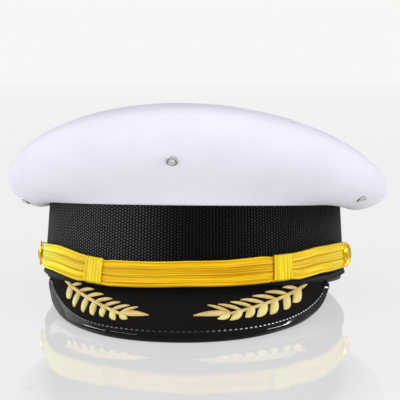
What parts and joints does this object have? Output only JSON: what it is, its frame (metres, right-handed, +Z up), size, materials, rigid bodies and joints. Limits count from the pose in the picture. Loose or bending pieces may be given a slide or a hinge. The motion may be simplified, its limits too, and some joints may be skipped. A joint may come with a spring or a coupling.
{
  "type": "peaked captain's cap",
  "caption": "White peaked cap with a wide soft crown, black braid band, visor with embroidered branches and a gold lace strap on buttons.",
  "frame": {"origin": "middle of the footprint, on the surface that the cap rests on", "axes": "+Z up, the visor towards -Y, +X towards the wearer's left"},
  "size_m": [0.2168, 0.2576, 0.113],
  "materials": {
    "white_cloth": "fine matt weave",
    "black_braid": "ribbed woven braid",
    "frame_board": "matt",
    "black_cloth": "matt felted cloth",
    "patent_leather": "high gloss",
    "gold_lace": "satin ribbed lace",
    "gold_thread": "satin stitched thread",
    "gilt_metal": "polished gilt",
    "nickel": "polished"
  },
  "bodies": {
    "root": {"crown_side": "white_cloth", "crown_top": "white_cloth", "band_frame": "frame_board", "band_braid": "black_braid", "visor": "black_cloth", "visor_binding": "patent_leather", "visor_welt": "patent_leather", "branch_left": "gold_thread", "branch_right": "gold_thread", "chin_strap": "gold_lace", "strap_slide_left": "gold_lace", "strap_slide_right": "gold_lace", "button_left": "gilt_metal", "button_right": "gilt_metal", "eyelet_front": "nickel", "eyelet_left": "nickel", "eyelet_right": "nickel"}
  },
  "joints": []
}
